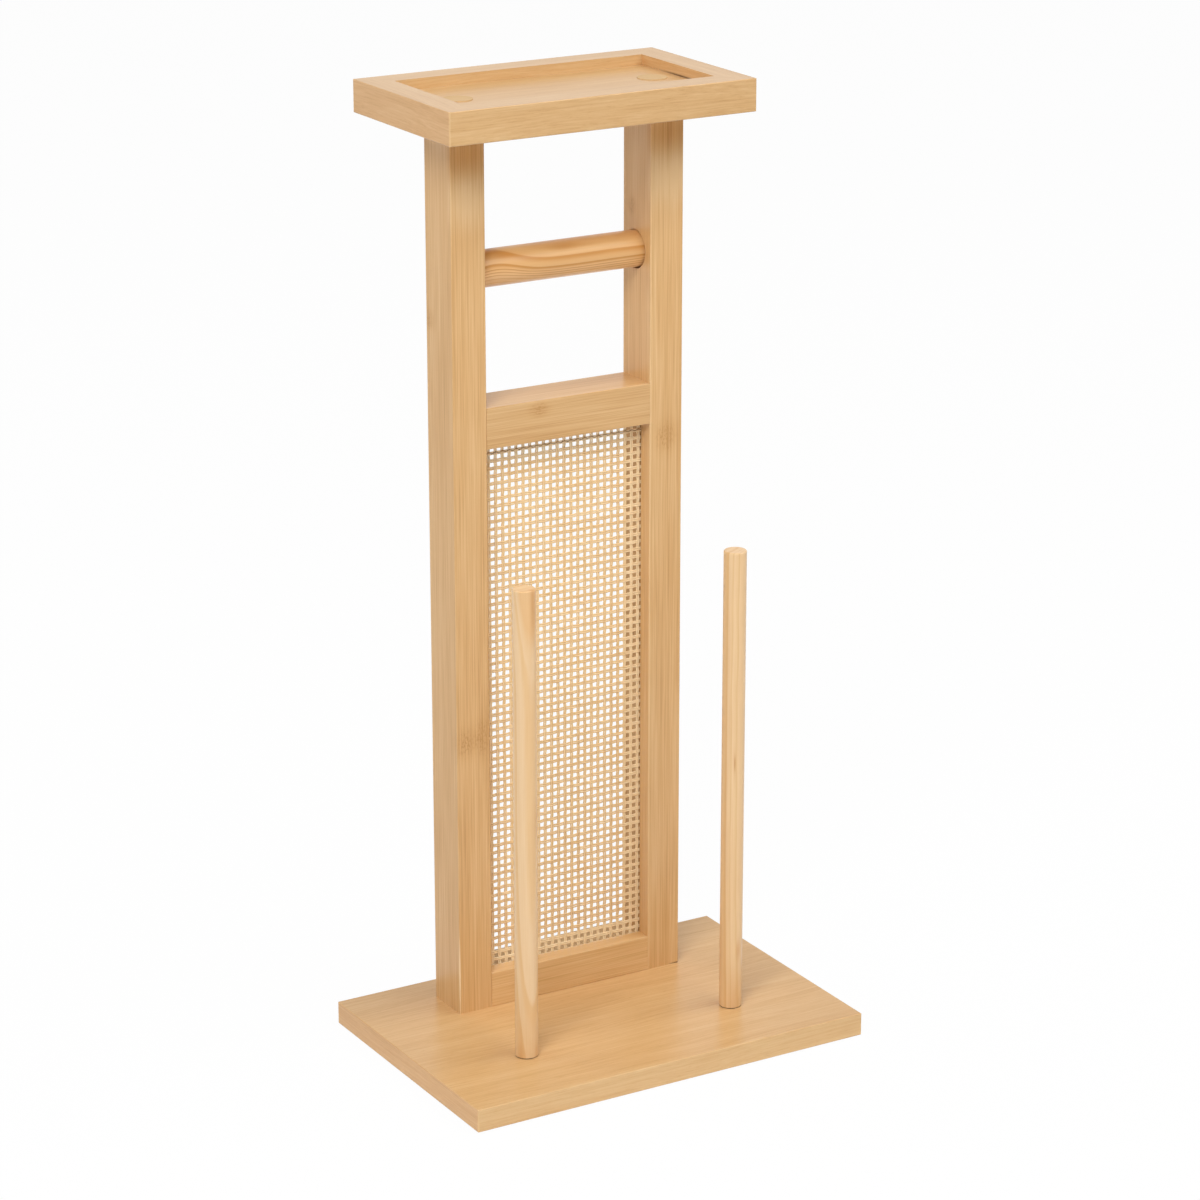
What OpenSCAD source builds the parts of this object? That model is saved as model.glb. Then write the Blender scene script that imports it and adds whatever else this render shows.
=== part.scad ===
// Free-standing toilet paper stand: base board, two posts with a cane panel and
// a sprung roll bar between them, a rimmed tray on top and two rods for spare rolls.
// Millimetres. X runs to the right, the front faces -Y, Z points up. The origin is
// on the floor, in the middle of the stand's footprint as seen from above.

/* [Base board] */
// Width of the base board
base_w = 300; // [240:5:400]
// Depth of the base board
base_d = 200; // [170:5:260]
// Thickness of the base board
base_t = 16; // [15:1:25]
// Rounding of the base board's edges
base_edge_r = 0.6; // [0.5:0.1:4]

/* [Posts] */
// Width of each post, seen from the front
post_w = 25; // [24:1:35]
// Depth of each post
post_d = 35; // [33:1:50]
// Height of each post
post_h = 613; // [560:1:700]
// Clear width between the posts
post_gap = 125; // [118:1:150]
// From the front edge of the base to the front of the posts
post_setback = 138.5; // [125:0.5:145]
// Rounding of the posts' long edges
post_edge_r = 0.5; // [0.5:0.1:4]

/* [Rails and cane panel] */
// Height of the rail at mid height
upper_rail_h = 28; // [24:1:40]
// From the base's top face to the top of the rail at mid height
upper_rail_top = 426; // [380:2:440]
// Height of the rail on the base
lower_rail_h = 25; // [20:1:40]
// Rounding of the rails' long edges
rail_edge_r = 0.5; // [0.5:0.1:3]
// From the front of the posts to the front of the cane
cane_setback = 11.5; // [9:0.5:16]
// Thickness of the woven cane
cane_t = 1.4; // [1:0.1:2]
// Width of the grooves that hold the cane
groove_w = 1.8; // [1.6:0.1:2.4]
// Depth of the grooves that hold the cane
groove_depth = 4; // [3:0.5:6]
// Openings of the net from side to side
net_columns = 10; // [6:1:10]
// Openings of the net from bottom to top
net_rows = 30; // [18:1:30]
// Share of each square of the net that is open
net_open_share = 0.58; // [0.4:0.02:0.7]

/* [Rail pins] */
// Diameter of the wooden pins between rails and posts
pin_d = 6; // [5:0.5:7]
// Length of each pin
pin_l = 25; // [20:1:30]
// How much of each pin sits in the post
pin_in_post = 10; // [8:1:12]
// Distance between the two pins at an end of the upper rail
upper_pin_spacing = 14; // [12:1:16]
// From the back of the cane's groove to the side of the first pin
pin_groove_wall = 3; // [2:0.5:5]
// Distance from the first pin to the second at an end of the lower rail
lower_pin_spacing = 10; // [9:0.5:13]

/* [Roll bar] */
// Diameter of the roll bar
bar_d = 25; // [20:0.5:28]
// Height of the bar's axis above the upper rail
bar_rise = 88.5; // [80:0.5:110]
// Radial room between the bar and its sockets
bar_play = 0.8; // [0.6:0.1:1.4]
// Wood left between the sockets and the back of the posts
socket_wall = 1.5; // [1.5:0.1:4]
// Room left between the bar and the wall of the socket that it leans on
bar_seat = 0.15; // [0.1:0.05:0.3]
// Angle above the horizontal at which the bar leans to the back
bar_lean_angle = 25; // [0:5:60]
// Depth of the socket in the left post
left_socket_depth = 21; // [20:0.5:21]
// Depth of the socket in the right post
right_socket_depth = 5; // [4:0.5:6]
// How far the bar reaches into the left socket at rest
bar_in_left = 7; // [5:0.5:8]
// Room at the bar's right end at rest
bar_end_gap = 0.2; // [0.1:0.05:0.3]
// Chamfer on the ends of the bar
bar_chamfer = 1; // [0.5:0.1:2]

/* [Bar spring] */
// Wire diameter of the spring
spring_wire = 1.2; // [1:0.1:1.3]
// Outer diameter of the spring
spring_od = 18; // [14:0.5:19]
// Number of turns of the spring
spring_turns = 4; // [3:1:4]
// Thickness of the cap's plate between spring and bar
cup_plate = 1.5; // [1.2:0.1:2]
// Length of the cap's collar round the spring
cup_collar = 3; // [2:0.5:4]
// Wall of the cap's collar
cup_wall = 1.2; // [1:0.1:1.6]
// Radial room round the spring in the cap
cup_room = 0.3; // [0.2:0.05:0.5]
// Room at the ends of the spring and of the cap
spring_seat = 0.1; // [0.05:0.05:0.2]

/* [Tray] */
// Width of the tray
tray_w = 227; // [205:1:280]
// Depth of the tray
tray_d = 131; // [110:1:170]
// Height of the tray's rim
tray_h = 22; // [19:1:30]
// Width of the rim's strips
rim_w = 20; // [14:1:24]
// Depth of the tray's recess
tray_recess = 7; // [5:0.5:9]
// Rounding of the tray's outer edges
tray_edge_r = 0.7; // [0.5:0.1:3]
// Joint gap between the tray's floor and its rim
tray_joint = 0.25; // [0.1:0.05:0.4]

/* [Spare roll rods] */
// Diameter of the spare roll rods
rod_d = 15.5; // [12:0.5:20]
// Height of the rods above the base board
rod_h = 328; // [220:2:360]
// Distance between the rods
rod_spacing = 161; // [130:1:190]
// From the front edge of the base to the rods' axes
rod_setback = 58.5; // [50:0.5:80]
// Chamfer at the top of the rods
rod_chamfer = 0.6; // [0.5:0.1:2]
// Chamfer at the foot of the rods
rod_foot_chamfer = 0.6; // [0.3:0.1:1]

/* [Screws, covers and pads] */
// Shank diameter of the wood screws
screw_d = 4.5; // [4:0.5:5]
// Head diameter of the wood screws
screw_head_d = 9; // [8:0.5:10]
// Height of the countersunk screw heads
screw_head_h = 2.6; // [2:0.1:3]
// Length of the screws up into the posts
post_screw_l = 45; // [35:1:60]
// Length of the screws up into the spare rods
rod_screw_l = 35; // [30:1:60]
// Length of the screws down into the posts
tray_screw_l = 45; // [35:1:60]
// Height of the straight rim round the screw heads
screw_rim_h = 0.3; // [0.2:0.1:0.5]
// How deep the screw heads lie under the surface
screw_sink = 0.5; // [0.3:0.1:1]
// Radial room round pins and screws in their holes
hole_fit = 0.1; // [0.05:0.05:0.2]
// Room at the bottom of blind holes
hole_end = 0.5; // [0.2:0.1:1]
// Distance between the two screws in the foot of a post
post_screw_spacing = 22; // [18:1:24]
// From the inner side of a post to its foot screws
post_screw_inset = 15; // [14:0.5:17]
// Width of the cross slots in the screw heads
cross_slot_w = 1; // [0.8:0.1:1.2]
// Length of the cross slots in the screw heads
cross_slot_l = 5; // [4:0.2:6]
// Depth of the cross slots in the screw heads
cross_slot_depth = 1.6; // [1:0.1:2]
// Diameter of the round covers on the tray floor
cover_d = 20; // [16:1:24]
// Thickness of the round covers
cover_t = 0.5; // [0.3:0.1:1]
// How far towards the middle the left cover was stuck, past its screw
left_cover_shift = 4; // [0:0.5:5]
// How far behind the screws the covers were stuck
cover_back_shift = 2; // [0:0.5:4]
// Least room between a cover and the tray's rim
cover_rim_gap = 0.5; // [0.3:0.1:2]
// Diameter of the pads under the base
pad_d = 22; // [14:1:30]
// Thickness of the pads under the base
pad_t = 1; // [0.8:0.1:3]
// From the base's edges to the middle of each pad
pad_inset = 24; // [18:1:40]

/* [Hidden] */
$fn = 64;

// Facets round each eased edge, and a cut's reach past the face that it opens
edge_fn = 24;
past = 1;

// Depths, from the front edge of the base: the origin lies in the middle of the footprint
post_mid_depth = post_setback + post_d / 2;
tray_back_depth = post_mid_depth + tray_d / 2;
tray_front_depth = post_mid_depth - tray_d / 2;
front_depth = min(0, tray_front_depth);
back_depth = max(base_d, tray_back_depth);
front_y = -(front_depth + back_depth) / 2;
post_front_y = front_y + post_setback;
post_y = front_y + post_mid_depth;
rod_y = front_y + rod_setback;
base_y = front_y + base_d / 2;

// Heights
base_z = pad_t;
base_top = base_z + base_t;
post_top = base_top + post_h;
tray_z = post_top;
tray_top = tray_z + tray_h;
tray_floor_top = tray_top - tray_recess;
tray_floor_t = tray_h - tray_recess;
lower_rail_top_z = base_top + lower_rail_h;
upper_rail_top_z = base_top + upper_rail_top;
upper_rail_z = upper_rail_top_z - upper_rail_h;
bar_z = upper_rail_top_z + bar_rise;

// Widths
post_in_x = post_gap / 2;
post_x = post_in_x + post_w / 2;
post_screw_x = post_in_x + post_screw_inset;
rod_x = rod_spacing / 2;

// Cane and its grooves
groove_y = post_front_y + cane_setback - (groove_w - cane_t) / 2;
cane_y = post_front_y + cane_setback;
cane_end_gap = (groove_w - cane_t) / 2;
cane_tongue = groove_depth - cane_end_gap;
window_w = post_gap;
window_h = upper_rail_z - lower_rail_top_z;

// Rail pins
first_pin_y = groove_y + groove_w + pin_groove_wall + pin_d / 2;
lower_pin_z = base_top + lower_rail_h / 2;
upper_pin_z = upper_rail_z + upper_rail_h / 2;

// Roll bar and its sockets, which lie near the back of the posts; the bar leans on their back wall
bar_r = bar_d / 2;
socket_r = bar_r + bar_play;
bar_lean = bar_play - bar_seat;
socket_y = post_y + post_d / 2 - socket_wall - socket_r;
bar_y = socket_y + bar_lean * cos(bar_lean_angle);
socket_z = bar_z - bar_lean * sin(bar_lean_angle);
bar_left_x = -post_in_x - bar_in_left;
bar_right_x = post_in_x + right_socket_depth - bar_end_gap;
left_socket_x = -post_in_x - left_socket_depth;

// Spring between the socket's end and the cap
cup_x = bar_left_x - spring_seat - cup_plate;
spring_length = cup_x - spring_seat - left_socket_x - spring_seat;
spring_path_r = (spring_od - spring_wire) / 2;
spring_pitch = (spring_length - spring_wire) / spring_turns;
spring_rings = 8;
spring_sides = 6;
cup_r = spring_od / 2 + cup_room + cup_wall;

// Blocks with every edge rounded

module rounded_square(w, d, r) {
    square([w - 2 * r, d], center = true);
    square([w, d - 2 * r], center = true);
    for (sx = [-1, 1], sy = [-1, 1])
        translate([sx * (w / 2 - r), sy * (d / 2 - r)])
            circle(r, $fn = edge_fn);
}

module eased_block(w, d, h, r) {
    intersection() {
        translate([0, 0, -h / 2])
            linear_extrude(h)
                rounded_square(w, d, r);
        rotate([90, 0, 0])
            translate([0, 0, -d / 2])
                linear_extrude(d)
                    rounded_square(w, h, r);
        rotate([90, 0, 90])
            translate([0, 0, -w / 2])
                linear_extrude(w)
                    rounded_square(d, h, r);
    }
}

// Screws

module screw_profile(l) {
    polygon([[0, 0], [screw_head_d / 2, 0], [screw_head_d / 2, screw_rim_h], [screw_d / 2, screw_head_h],
             [screw_d / 2, l - screw_d], [0, l]]);
}

// A countersunk screw with its head at the origin and its tip up
module screw(l) {
    difference() {
        rotate_extrude()
            screw_profile(l);
        for (turn = [0, 90])
            rotate([0, 0, turn])
                translate([-cross_slot_l / 2, -cross_slot_w / 2, -past])
                    cube([cross_slot_l, cross_slot_w, cross_slot_depth + past]);
    }
}

// The hole that a screw of length l needs, from screw_sink below the surface at z = 0
module screw_hole(l) {
    rotate_extrude()
        polygon([[0, -past], [screw_head_d / 2 + hole_fit, -past],
                 [screw_head_d / 2 + hole_fit, screw_sink + screw_rim_h],
                 [screw_d / 2 + hole_fit, screw_sink + screw_head_h],
                 [screw_d / 2 + hole_fit, screw_sink + l + hole_end], [0, screw_sink + l + hole_end]]);
}

module at_post_screws() {
    for (sx = [-1, 1], sy = [-1, 1])
        translate([sx * post_screw_x, post_y + sy * post_screw_spacing / 2, base_z])
            children();
}

module at_rod_screws() {
    for (sx = [-1, 1])
        translate([sx * rod_x, rod_y, base_z])
            children();
}

module at_tray_screws() {
    for (sx = [-1, 1])
        translate([sx * post_x, post_y, tray_floor_top])
            mirror([0, 0, 1])
                children();
}

// Feet and base

module foot_pads() {
    color("dimgray")
        for (sx = [-1, 1], sy = [-1, 1])
            translate([sx * (base_w / 2 - pad_inset), base_y + sy * (base_d / 2 - pad_inset), 0])
                cylinder(h = pad_t, d = pad_d);
}

module base_board() {
    color("burlywood")
        difference() {
            translate([0, base_y, base_z + base_t / 2])
                eased_block(base_w, base_d, base_t, base_edge_r);
            at_post_screws()
                screw_hole(post_screw_l);
            at_rod_screws()
                screw_hole(rod_screw_l);
        }
}

module post_screws() {
    color("silver")
        at_post_screws()
            translate([0, 0, screw_sink])
                screw(post_screw_l);
}

module rod_screws() {
    color("silver")
        at_rod_screws()
            translate([0, 0, screw_sink])
                screw(rod_screw_l);
}

// Posts

module at_lower_pins() {
    for (i = [0, 1])
        translate([0, first_pin_y + i * lower_pin_spacing, lower_pin_z])
            children();
}

module at_upper_pins() {
    for (i = [-1, 1])
        translate([0, first_pin_y + lower_pin_spacing / 2, upper_pin_z + i * upper_pin_spacing / 2])
            children();
}

// Pins of both rail ends: the part that sits in the posts reaches out by pin_in_post
module pin_row(l, r) {
    for (side = [-1, 1])
        translate([side * (post_in_x + pin_in_post - pin_l / 2), 0, 0])
            rotate([0, 90, 0])
                cylinder(h = l, r = r, center = true);
}

module post_blank(side) {
    translate([side * post_x, post_y, base_top])
        linear_extrude(post_h)
            rounded_square(post_w, post_d, post_edge_r);
}

module cane_groove() {
    translate([-post_in_x - groove_depth, groove_y, lower_rail_top_z - groove_depth])
        cube([post_gap + 2 * groove_depth, groove_w, window_h + 2 * groove_depth]);
}

module pin_holes() {
    at_lower_pins()
        pin_row(pin_l + 2 * hole_end, pin_d / 2 + hole_fit);
    at_upper_pins()
        pin_row(pin_l + 2 * hole_end, pin_d / 2 + hole_fit);
}

module post(side, socket_depth) {
    difference() {
        post_blank(side);
        translate([side * (post_in_x + socket_depth / 2 - past / 2), socket_y, socket_z])
            rotate([0, 90, 0])
                cylinder(h = socket_depth + past, r = socket_r, center = true);
        cane_groove();
        pin_holes();
        at_post_screws()
            screw_hole(post_screw_l);
        at_tray_screws()
            screw_hole(tray_screw_l);
    }
}

module left_post() {
    color("burlywood")
        post(-1, left_socket_depth);
}

module right_post() {
    color("burlywood")
        post(1, right_socket_depth);
}

// Rails and cane panel

module rail(z, h) {
    translate([0, post_y, z + h / 2])
        rotate([90, 0, 90])
            linear_extrude(post_gap, center = true)
                rounded_square(post_d, h, rail_edge_r);
}

module lower_rail() {
    color("burlywood")
        difference() {
            rail(base_top, lower_rail_h);
            cane_groove();
            pin_holes();
        }
}

module upper_rail() {
    color("burlywood")
        difference() {
            rail(upper_rail_z, upper_rail_h);
            cane_groove();
            pin_holes();
        }
}

module lower_rail_pins() {
    color("wheat")
        at_lower_pins()
            pin_row(pin_l, pin_d / 2);
}

module upper_rail_pins() {
    color("wheat")
        at_upper_pins()
            pin_row(pin_l, pin_d / 2);
}

module net_holes() {
    pitch_x = window_w / net_columns;
    pitch_z = window_h / net_rows;
    for (i = [0 : net_columns - 1], k = [0 : net_rows - 1])
        translate([(i + 0.5) * pitch_x - window_w / 2, (k + 0.5) * pitch_z])
            square([pitch_x * net_open_share, pitch_z * net_open_share], center = true);
}

module cane_panel() {
    color("tan")
        translate([0, cane_y + cane_t, lower_rail_top_z])
            rotate([90, 0, 0])
                linear_extrude(cane_t)
                    difference() {
                        translate([-window_w / 2 - cane_tongue, -cane_tongue])
                            square([window_w + 2 * cane_tongue, window_h + 2 * cane_tongue]);
                        net_holes();
                    }
}

// Roll bar, its cap and its spring

module roll_bar() {
    length = bar_right_x - bar_left_x;
    color("peru")
        translate([bar_left_x, bar_y, bar_z])
            rotate([0, 90, 0])
                rotate_extrude()
                    polygon([[0, 0], [bar_r - bar_chamfer, 0], [bar_r, bar_chamfer],
                             [bar_r, length - bar_chamfer], [bar_r - bar_chamfer, length],
                             [0, length]]);
}

// Cap on the bar's axis: a plate under the bar's end and a collar that holds the spring
module spring_cup() {
    color("whitesmoke")
        translate([cup_x, bar_y, bar_z])
            rotate([0, 90, 0])
                difference() {
                    translate([0, 0, -cup_collar])
                        cylinder(h = cup_collar + cup_plate, r = cup_r);
                    translate([0, 0, -cup_collar - past])
                        cylinder(h = cup_collar + past, r = cup_r - cup_wall);
                }
}

// Point i of the spring's centre line, its direction along the turn, and its rings
function spring_angle(i) = 360 * i / spring_rings;
function spring_point(i) = [
    left_socket_x + spring_seat + spring_wire / 2 + spring_pitch * i / spring_rings,
    bar_y + spring_path_r * cos(spring_angle(i)),
    bar_z + spring_path_r * sin(spring_angle(i))
];
function spring_corner(i, k) =
    let (turn = 360 * k / spring_sides, r = spring_wire / 2, a = spring_angle(i))
    spring_point(i) + [r * sin(turn), r * cos(turn) * cos(a), r * cos(turn) * sin(a)];

last_ring = spring_turns * spring_rings;
spring_points = [for (i = [0 : last_ring], k = [0 : spring_sides - 1]) spring_corner(i, k)];
function ring_index(i, k) = i * spring_sides + k % spring_sides;
spring_walls = [for (i = [0 : last_ring - 1], k = [0 : spring_sides - 1], half = [0, 1])
    half == 0
        ? [ring_index(i, k), ring_index(i, k + 1), ring_index(i + 1, k + 1)]
        : [ring_index(i, k), ring_index(i + 1, k + 1), ring_index(i + 1, k)]];
spring_ends = [for (i = [0, last_ring], k = [1 : spring_sides - 2])
    i == 0
        ? [ring_index(0, 0), ring_index(0, k + 1), ring_index(0, k)]
        : [ring_index(i, 0), ring_index(i, k), ring_index(i, k + 1)]];

// Least gap between one turn and the next, measured on the centre line's points
spring_gap = min([for (i = [0 : last_ring - spring_rings])
    norm(spring_point(i + spring_rings) - spring_point(i))]) - spring_wire;
echo(least_gap_between_spring_turns = spring_gap);

module bar_spring() {
    color("silver")
        polyhedron(points = spring_points, faces = concat(spring_walls, spring_ends), convexity = 8);
}

// Spare roll rods

// A rod stands on the base board, held by its screw
module spare_rod(side) {
    difference() {
        translate([side * rod_x, rod_y, base_top])
            rotate_extrude()
                polygon([[0, 0], [rod_d / 2 - rod_foot_chamfer, 0], [rod_d / 2, rod_foot_chamfer],
                         [rod_d / 2, rod_h - rod_chamfer], [rod_d / 2 - rod_chamfer, rod_h],
                         [0, rod_h]]);
        at_rod_screws()
            screw_hole(rod_screw_l);
    }
}

module left_spare_rod() {
    color("burlywood")
        spare_rod(-1);
}

module right_spare_rod() {
    color("burlywood")
        spare_rod(1);
}

// Tray

floor_w = tray_w - 2 * rim_w;
floor_d = tray_d - 2 * rim_w;

// The covers lie over their screws, and clear of the rim where the floor is narrow
cover_reach_x = floor_w / 2 - cover_rim_gap - cover_d / 2;
left_cover_x = -min(post_x - left_cover_shift, cover_reach_x);
right_cover_x = min(post_x, cover_reach_x);

module tray_floor() {
    color("burlywood")
        difference() {
            translate([-floor_w / 2 + tray_joint, post_y - floor_d / 2 + tray_joint, tray_z])
                cube([floor_w - 2 * tray_joint, floor_d - 2 * tray_joint, tray_floor_t]);
            at_tray_screws()
                screw_hole(tray_screw_l);
        }
}

module rim_frame() {
    difference() {
        translate([0, post_y, tray_z + tray_h / 2])
            eased_block(tray_w, tray_d, tray_h, tray_edge_r);
        translate([-floor_w / 2, post_y - floor_d / 2, tray_z - past])
            cube([floor_w, floor_d, tray_h + 2 * past]);
    }
}

// The mitred strip along the front or the back of the tray, side -1 or 1
module long_strip(side) {
    reach = rim_w + past;
    intersection() {
        rim_frame();
        translate([0, post_y + side * tray_d / 2, tray_z - past])
            linear_extrude(tray_h + 2 * past)
                polygon([[-tray_w / 2 - past, side * past], [tray_w / 2 + past, side * past],
                         [tray_w / 2 - reach, -side * reach], [-tray_w / 2 + reach, -side * reach]]);
    }
}

// The mitred strip along the left or the right of the tray, side -1 or 1
module short_strip(side) {
    reach = rim_w + past;
    intersection() {
        rim_frame();
        translate([side * tray_w / 2, post_y, tray_z - past])
            linear_extrude(tray_h + 2 * past)
                polygon([[side * past, -tray_d / 2 - past], [side * past, tray_d / 2 + past],
                         [-side * reach, tray_d / 2 - reach], [-side * reach, -tray_d / 2 + reach]]);
    }
}

module tray_front_rim() {
    color("burlywood")
        long_strip(-1);
}

module tray_back_rim() {
    color("burlywood")
        long_strip(1);
}

module tray_left_rim() {
    color("burlywood")
        short_strip(-1);
}

module tray_right_rim() {
    color("burlywood")
        short_strip(1);
}

module tray_screws() {
    color("silver")
        at_tray_screws()
            translate([0, 0, screw_sink])
                screw(tray_screw_l);
}

module screw_covers() {
    color("tan")
        for (x = [left_cover_x, right_cover_x])
            translate([x, post_y + cover_back_shift, tray_floor_top])
                cylinder(h = cover_t, d = cover_d);
}

foot_pads();
base_board();
post_screws();
rod_screws();
left_post();
right_post();
lower_rail();
upper_rail();
lower_rail_pins();
upper_rail_pins();
cane_panel();
roll_bar();
spring_cup();
bar_spring();
left_spare_rod();
right_spare_rod();
tray_floor();
tray_front_rim();
tray_back_rim();
tray_left_rim();
tray_right_rim();
tray_screws();
screw_covers();
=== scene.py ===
# %% [markdown]
# A toilet paper stand of light wood and bamboo, dressed for the camera. The
# solids come from the packed model and stay where they are. This lesson gives
# each of them its finish. It swaps only the pieces whose real surface is finer
# than a solid can be: the woven cane panel and the spring of the roll bar.

# %% Load the packed stand
import math
import random

import bpy
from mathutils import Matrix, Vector


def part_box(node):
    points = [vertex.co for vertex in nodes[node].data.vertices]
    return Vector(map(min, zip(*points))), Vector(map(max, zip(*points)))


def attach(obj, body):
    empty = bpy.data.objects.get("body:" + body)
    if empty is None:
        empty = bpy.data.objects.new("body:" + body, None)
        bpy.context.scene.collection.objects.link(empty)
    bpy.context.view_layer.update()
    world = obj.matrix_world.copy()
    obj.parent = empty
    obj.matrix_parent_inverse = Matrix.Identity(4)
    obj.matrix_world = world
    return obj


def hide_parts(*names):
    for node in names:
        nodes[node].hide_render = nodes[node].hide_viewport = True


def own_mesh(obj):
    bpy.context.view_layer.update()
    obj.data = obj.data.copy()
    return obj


MM = 0.001
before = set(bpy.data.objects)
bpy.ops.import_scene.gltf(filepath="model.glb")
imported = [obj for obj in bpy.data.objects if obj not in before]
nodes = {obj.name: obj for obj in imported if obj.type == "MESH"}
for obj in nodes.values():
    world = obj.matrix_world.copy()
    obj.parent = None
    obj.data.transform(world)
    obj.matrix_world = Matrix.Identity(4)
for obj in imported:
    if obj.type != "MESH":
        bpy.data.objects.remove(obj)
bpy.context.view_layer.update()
print("pieces in the packed model:", len(nodes))

# %% [markdown]
# The camera stands at the front left and looks slightly down. It is written as
# a place, a turn and a downward tilt, which come from matching the straight
# edges of the stand. The place is measured from the middle of the base board,
# so the base board is the anchor here as well.

# %% Camera
CAMERA_FROM_BASE = Vector((-1254.3, -2124.4, 1123.4)) * MM
CAMERA_TURN = 30.576
CAMERA_TILT = 18.230
CAMERA_LENS = 117.39
SENSOR = 36.0
NEAREST_SEEN = 0.1

base_low, base_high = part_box("base_board")
base_top = base_high.z / MM
base_mid = Vector(((base_low.x + base_high.x) / 2, (base_low.y + base_high.y) / 2, base_low.z))

camera_data = bpy.data.cameras.new("stand_camera")
camera_data.sensor_width = SENSOR
camera_data.lens = CAMERA_LENS
camera_data.clip_start = NEAREST_SEEN
camera = bpy.data.objects.new("stand_camera", camera_data)
camera.location = base_mid + CAMERA_FROM_BASE
camera.rotation_euler = (math.radians(90 - CAMERA_TILT), 0, math.radians(-CAMERA_TURN))
bpy.context.scene.collection.objects.link(camera)
bpy.context.scene.camera = camera
print("camera at", [round(v, 3) for v in camera.location])

# %% [markdown]
# Every finish is a small tree of nodes. Writing the trees by hand repeats the
# same few steps, so a recipe card comes first: a class that makes an empty
# material and has a short name for each step. Tones are written as a colour
# picker shows them, and turned into the linear numbers that Blender mixes.

# %% Tones
def tone(red, green, blue):
    """A colour from 0 to 255 as linear red, green, blue and full cover."""
    def linear(v):
        v /= 255
        return v / 12.92 if v <= 0.04045 else ((v + 0.055) / 1.055) ** 2.4
    return (linear(red), linear(green), linear(blue), 1)

print("a light wood tone in linear numbers:", [round(v, 3) for v in tone(217, 173, 123)])

# %% The recipe card for a finish
MIX_SOCKETS = {"VECTOR": (4, 5, 1), "RGBA": (6, 7, 2)}

class Finish:
    """A node material with short names for the steps that wood, cane and metal need."""

    def __init__(self, name, roughness=0.5):
        """An empty tree with one shader, joined to the output."""
        self.material = bpy.data.materials.new(name)
        self.material.use_nodes = True
        self.tree = self.material.node_tree
        self.tree.nodes.clear()
        self.output = self.tree.nodes.new("ShaderNodeOutputMaterial")
        self.shader = self.tree.nodes.new("ShaderNodeBsdfPrincipled")
        self.shader.inputs["Roughness"].default_value = roughness
        self.join(self.shader.outputs["BSDF"], self.output.inputs["Surface"])

    def join(self, value, socket):
        """Link an output to a socket, or write a plain number into it."""
        if isinstance(value, bpy.types.NodeSocket):
            self.tree.links.new(value, socket)
        else:
            socket.default_value = value

    def node(self, kind, *values, **settings):
        """A node with its settings, and values joined to its first sockets."""
        node = self.tree.nodes.new("ShaderNode" + kind)
        for name, setting in settings.items():
            setattr(node, name, setting)
        for socket, value in zip(node.inputs, values):
            if value is not None:
                self.join(value, socket)
        return node

    def math(self, operation, *values):
        """The result of one Math node."""
        return self.node("Math", *values, operation=operation).outputs[0]

    def raised(self, value, share, amount):
        """The value plus an amount, as far as the share says."""
        return self.math("MULTIPLY_ADD", share, amount, value)

    def vector(self, operation, *values):
        """The result of one Vector Math node."""
        return self.node("VectorMath", *values, operation=operation).outputs[0]

    def fade(self, value, low, high, at_low=0.0, at_high=1.0):
        """Smooth step of a value between low and high."""
        return self.node("MapRange", value, low, high, at_low, at_high,
                         interpolation_type="SMOOTHSTEP").outputs[0]

    def mix(self, share, first, second, kind="RGBA", **settings):
        """The first value where the share is 0, and the second mixed in up to 1."""
        first_in, second_in, mixed = MIX_SOCKETS[kind]
        node = self.node("Mix", share, data_type=kind, **settings)
        self.join(first, node.inputs[first_in])
        self.join(second, node.inputs[second_in])
        return node.outputs[mixed]

    def ramp(self, value, stops):
        """The colour that a value has between stops, each a place and a tone."""
        node = self.node("ValToRGB", value)
        elements = node.color_ramp.elements
        elements.remove(elements[1])
        elements[0].position, elements[0].color = stops[0]
        for position, stop_tone in stops[1:]:
            elements.new(position).color = stop_tone
        return node.outputs["Color"]

    def paint(self, colour, index_of_refraction):
        """The colour and the gloss of the shader."""
        self.join(colour, self.shader.inputs["Base Color"])
        self.shader.inputs["IOR"].default_value = index_of_refraction

print("steps on the card:", [step for step in vars(Finish) if not step.startswith("_")])

# %% [markdown]
# Wood is a bundle of long fibres, so all its marks are long along the grain and
# narrow across it. The trick is to measure each point in millimetres, turn the
# numbers so that the third one runs along the grain, and shrink it before it
# goes into a noise. One noise then serves as fibre, streak or broad figure.

# %% Grain
NOISE_ROUGHNESS = 0.55

def place_in(finish, order="XYZ", origin=(0, 0, 0)):
    """Each point in mm from origin, with the axis along the grain as the third number."""
    raw = finish.node("TexCoord").outputs["Object"]
    mm = finish.vector("MULTIPLY_ADD", raw, (1 / MM,) * 3, [-v for v in origin])
    parts = finish.node("SeparateXYZ", mm).outputs
    return finish.node("CombineXYZ", *(parts["XYZ".index(letter)] for letter in order)).outputs[0]

def marks(finish, place, across, along, detail, seed):
    """Noise whose marks are across mm wide and along mm long. The seed moves the pattern."""
    shrunk = finish.vector("MULTIPLY_ADD", place, (1 / across, 1 / across, 1 / along), (seed,) * 3)
    return finish.node("TexNoise", shrunk, None, 1.0, detail, NOISE_ROUGHNESS).outputs["Fac"]

def add_up(finish, middle, *parts):
    """A middle value plus each noise's swing about one half, times its amount."""
    total = middle - sum(amount for _, amount in parts) / 2
    for noise, amount in parts:
        total = finish.math("MULTIPLY_ADD", noise, amount, total)
    return total

print("roughness of every noise:", NOISE_ROUGHNESS)
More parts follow.
